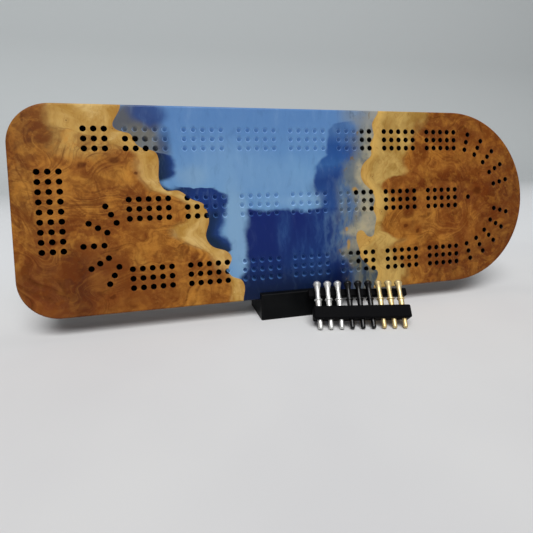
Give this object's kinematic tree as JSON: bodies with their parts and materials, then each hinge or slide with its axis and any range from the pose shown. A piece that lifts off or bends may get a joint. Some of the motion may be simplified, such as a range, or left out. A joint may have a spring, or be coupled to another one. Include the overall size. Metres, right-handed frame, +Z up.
{
  "type": "cribbage board",
  "caption": "Cribbage board of burl wood and poured resin, leaning in a block stand, with turned metal pegs in a small leaning rack.",
  "frame": {"origin": "centre of the stand's underside, on the surface that the object stands on", "axes": "+X to the right along the board's length, +Y from the viewer to the back, +Z up"},
  "size_m": [0.3912, 0.0874, 0.1489],
  "materials": {
    "burl_wood": "sanded burl under a satin clear coat",
    "river_resin": "poured pearl resin in clouded blues, polished",
    "stand_black": "smooth black block, satin",
    "rack_black": "fine-grained black, matte",
    "silver_metal": "turned and polished",
    "black_metal": "gloss black plating",
    "gold_metal": "turned and polished, pale gold"
  },
  "bodies": {
    "stand": {"display_stand": "stand_black"},
    "board": {"burl_left": "burl_wood", "resin_river": "river_resin", "burl_right": "burl_wood"},
    "rack": {"peg_strip": "rack_black", "rest_rail": "rack_black", "rack_post_left": "rack_black", "rack_post_right": "rack_black"},
    "silver_peg_1": {"silver_peg_1": "silver_metal"},
    "silver_peg_2": {"silver_peg_2": "silver_metal"},
    "silver_peg_3": {"silver_peg_3": "silver_metal"},
    "black_peg_1": {"black_peg_1": "black_metal"},
    "black_peg_2": {"black_peg_2": "black_metal"},
    "black_peg_3": {"black_peg_3": "black_metal"},
    "gold_peg_1": {"gold_peg_1": "gold_metal"},
    "gold_peg_2": {"gold_peg_2": "gold_metal"},
    "gold_peg_3": {"gold_peg_3": "gold_metal"}
  },
  "joints": [
    {"name": "board_lift", "type": "slide", "parent": "stand", "child": "board", "axis": [0, 0.1736, 0.9848], "range_m": [0, 0.06]},
    {"name": "rack_lift", "type": "slide", "parent": "stand", "child": "rack", "axis": [0, 0, 1], "range_m": [0, 0.06]},
    {"name": "silver_peg_1_pull", "type": "slide", "parent": "rack", "child": "silver_peg_1", "axis": [0.1343, 0.6008, 0.788], "range_m": [0, 0.016]},
    {"name": "silver_peg_2_pull", "type": "slide", "parent": "rack", "child": "silver_peg_2", "axis": [0.1343, 0.6008, 0.788], "range_m": [0, 0.016]},
    {"name": "silver_peg_3_pull", "type": "slide", "parent": "rack", "child": "silver_peg_3", "axis": [0.1343, 0.6008, 0.788], "range_m": [0, 0.016]},
    {"name": "black_peg_1_pull", "type": "slide", "parent": "rack", "child": "black_peg_1", "axis": [0.1343, 0.6008, 0.788], "range_m": [0, 0.016]},
    {"name": "black_peg_2_pull", "type": "slide", "parent": "rack", "child": "black_peg_2", "axis": [0.1343, 0.6008, 0.788], "range_m": [0, 0.016]},
    {"name": "black_peg_3_pull", "type": "slide", "parent": "rack", "child": "black_peg_3", "axis": [0.1343, 0.6008, 0.788], "range_m": [0, 0.016]},
    {"name": "gold_peg_1_pull", "type": "slide", "parent": "rack", "child": "gold_peg_1", "axis": [0.1343, 0.6008, 0.788], "range_m": [0, 0.016]},
    {"name": "gold_peg_2_pull", "type": "slide", "parent": "rack", "child": "gold_peg_2", "axis": [0.1343, 0.6008, 0.788], "range_m": [0, 0.016]},
    {"name": "gold_peg_3_pull", "type": "slide", "parent": "rack", "child": "gold_peg_3", "axis": [0.1343, 0.6008, 0.788], "range_m": [0, 0.016]}
  ]
}
